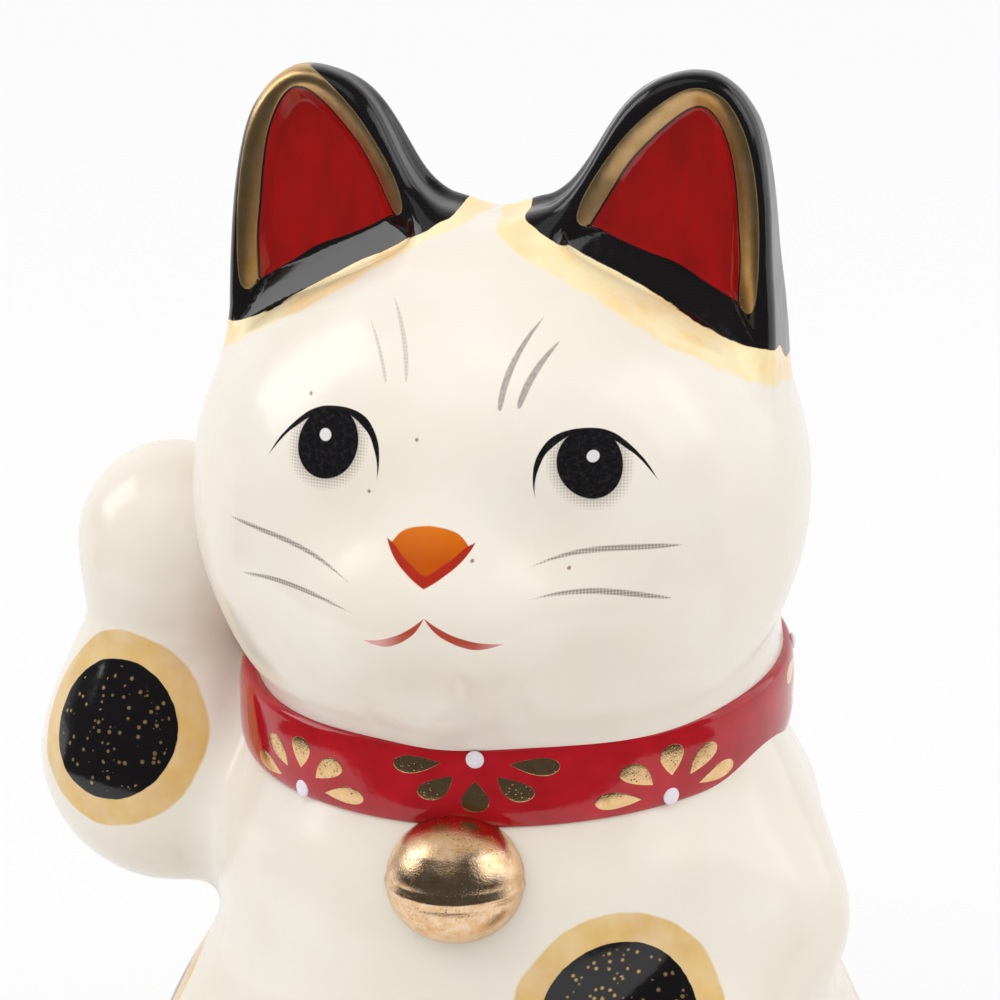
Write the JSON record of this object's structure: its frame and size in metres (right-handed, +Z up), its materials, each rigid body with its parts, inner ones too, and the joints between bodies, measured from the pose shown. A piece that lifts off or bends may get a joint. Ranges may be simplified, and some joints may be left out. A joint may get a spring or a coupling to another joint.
{
  "type": "beckoning cat figurine",
  "caption": "Seated cat figurine in glazed earthenware with one raised paw, upright cupped ears, a red collar in relief and a gold ball bell; hollow, on a flat foot with a vent.",
  "frame": {"origin": "centre of the vent hole in the foot, on the table plane, on the torso's axis", "axes": "+Z up, the cat faces -Y, its left side is +X and its raised arm is at -X"},
  "size_m": [0.0909, 0.0876, 0.1233],
  "materials": {
    "white_glaze": "clear gloss glaze over a cream body with small iron specks",
    "black_glaze": "black gloss overglaze with red cups, gold lines and a yellow fringe",
    "red_glaze": "red gloss overglaze with gold half flowers",
    "bead_enamel": "raised pale lilac enamel dots",
    "gold_lustre": "fired gold lustre with dark wear specks"
  },
  "bodies": {
    "root": {"torso_shell": "white_glaze", "head_shell": "white_glaze", "ear_left": "black_glaze", "ear_right": "black_glaze", "raised_arm": "white_glaze", "lowered_arm": "white_glaze", "haunch_left": "white_glaze", "haunch_right": "white_glaze", "hind_paw_left": "white_glaze", "hind_paw_right": "white_glaze", "tail": "black_glaze", "collar_band": "red_glaze", "collar_beads": "bead_enamel", "bell": "gold_lustre"}
  },
  "joints": []
}
